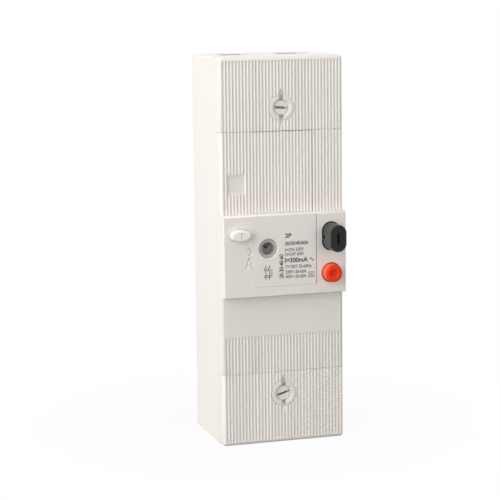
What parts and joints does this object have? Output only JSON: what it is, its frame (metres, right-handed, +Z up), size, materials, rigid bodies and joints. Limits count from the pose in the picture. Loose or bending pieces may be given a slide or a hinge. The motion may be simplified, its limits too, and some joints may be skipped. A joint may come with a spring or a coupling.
{
  "type": "residual current circuit breaker",
  "caption": "Tall ribbed wall-mounted residual current circuit breaker with a raised control panel, ON and OFF push buttons, an oval test button and sealed terminal covers.",
  "frame": {"origin": "centre of the flat back that lies on the wall", "axes": "+X right seen from the front, +Y from the front into the wall, +Z up"},
  "size_m": [0.064, 0.0645, 0.195],
  "materials": {
    "housing_plastic": "fine matt warm off-white moulding",
    "label_plastic": "smooth printed plate",
    "black_plastic": "satin black",
    "red_plastic": "satin red",
    "white_plastic": "satin white",
    "dial_plastic": "matt dark brown",
    "inner_plastic": "dark thermoset",
    "board": "fibre board",
    "core": "dull tape-wound core",
    "copper": "plain copper",
    "brass": "plain brass",
    "contact": "dull silver alloy",
    "resistor": "lacquered",
    "steel": "zinc plated"
  },
  "bodies": {
    "housing": {"arc_chute_cheeks": "board", "arc_plates_left": "steel", "arc_plates_right": "steel", "armature_pins": "steel", "base": "housing_plastic", "bimetal_left": "steel", "bimetal_right": "steel", "carrier_axle": "steel", "fixed_contact_tips": "contact", "flexible_braid_left": "copper", "flexible_braid_right": "copper", "housing_screws": "steel", "label_plate": "label_plastic", "line_strap_left": "copper", "line_strap_right": "copper", "line_terminal_left": "brass", "line_terminal_right": "brass", "load_conductor_left": "copper", "load_conductor_right": "copper", "load_terminal_left": "brass", "load_terminal_right": "brass", "lower_terminal_cover": "housing_plastic", "magnet_yoke_left": "steel", "magnet_yoke_right": "steel", "main_cover": "housing_plastic", "off_button_spring": "steel", "on_button_spring": "steel", "secondary_winding": "copper", "sensing_leads": "copper", "setting_cover": "housing_plastic", "terminal_screws": "steel", "test_button_spring": "steel", "test_contacts": "brass", "test_resistor": "resistor", "toroid_core": "core", "trip_bar_axle": "steel", "trip_bar_spring": "steel", "trip_bracket_left": "copper", "trip_bracket_right": "copper", "trip_relay": "inner_plastic", "upper_terminal_cover": "housing_plastic"},
    "on_button": {"on_button": "black_plastic"},
    "contact_carrier": {"contact_carrier": "inner_plastic", "contact_arm_left": "copper", "contact_arm_right": "copper", "moving_contact_tips": "contact", "contact_springs": "steel"},
    "off_button": {"off_button": "red_plastic"},
    "trip_bar": {"trip_bar": "inner_plastic"},
    "test_button": {"test_button": "white_plastic", "test_bridge": "brass"},
    "selector": {"selector_dial": "dial_plastic"},
    "sealing_screw_upper": {"sealing_screw_upper": "housing_plastic"},
    "sealing_screw_lower": {"sealing_screw_lower": "housing_plastic"},
    "armature_left": {"armature_left": "steel"},
    "armature_right": {"armature_right": "steel"},
    "relay_plunger": {"relay_plunger": "steel"}
  },
  "joints": [
    {"name": "on_button_press", "type": "slide", "parent": "housing", "child": "on_button", "axis": [0, 1, 0], "range_m": [0, 0.007], "stiffness_N_per_m": 400, "springref_m": -0.004, "deforming": ["on_button_spring"]},
    {"name": "carrier_turn", "type": "hinge", "parent": "housing", "child": "contact_carrier", "pos_m": [0, -0.01405, -0.0179], "axis": [-1, 0, 0], "range_deg": [0, 15.65], "deforming": ["flexible_braid_left", "flexible_braid_right"]},
    {"name": "off_button_press", "type": "slide", "parent": "housing", "child": "off_button", "axis": [0, 1, 0], "range_m": [0, 0.003], "stiffness_N_per_m": 400, "springref_m": -0.002, "deforming": ["off_button_spring"]},
    {"name": "trip_bar_turn", "type": "hinge", "parent": "housing", "child": "trip_bar", "pos_m": [0, -0.02905, -0.002], "axis": [1, 0, 0], "range_deg": [0, 20.22]},
    {"name": "test_button_press", "type": "slide", "parent": "housing", "child": "test_button", "axis": [0, 1, 0], "range_m": [0, 0.0018], "stiffness_N_per_m": 400, "springref_m": -0.002, "deforming": ["test_button_spring"]},
    {"name": "selector_turn", "type": "hinge", "parent": "housing", "child": "selector", "pos_m": [-0.0089, -0.0525, 0.0028], "axis": [0, 1, 0], "range_deg": [0, 120]},
    {"name": "sealing_screw_upper_turn", "type": "hinge", "parent": "housing", "child": "sealing_screw_upper", "pos_m": [0, -0.0481, 0.0722], "axis": [0, -1, 0], "range_deg": [0, 95]},
    {"name": "sealing_screw_lower_turn", "type": "hinge", "parent": "housing", "child": "sealing_screw_lower", "pos_m": [0, -0.0481, -0.0722], "axis": [0, -1, 0], "range_deg": [-17, 73]},
    {"name": "armature_left_turn", "type": "hinge", "parent": "housing", "child": "armature_left", "pos_m": [-0.014, -0.0378, -0.0355], "axis": [-1, 0, 0], "range_deg": [0, 3.7], "stiffness_Nm_per_rad": 0.01, "springref_deg": -5.73},
    {"name": "armature_right_turn", "type": "hinge", "parent": "housing", "child": "armature_right", "pos_m": [0.011, -0.0378, -0.0355], "axis": [-1, 0, 0], "range_deg": [0, 3.7], "stiffness_Nm_per_rad": 0.01, "springref_deg": -5.73},
    {"name": "relay_plunger_slide", "type": "slide", "parent": "housing", "child": "relay_plunger", "axis": [0, 0, 1], "range_m": [0, 0.002]}
  ],
  "couplings": [
    {"joint": "carrier_turn", "follows": "on_button_press", "rad_per_m": 38.972},
    {"joint": "trip_bar_turn", "follows": "off_button_press", "rad_per_m": 117.52}
  ]
}
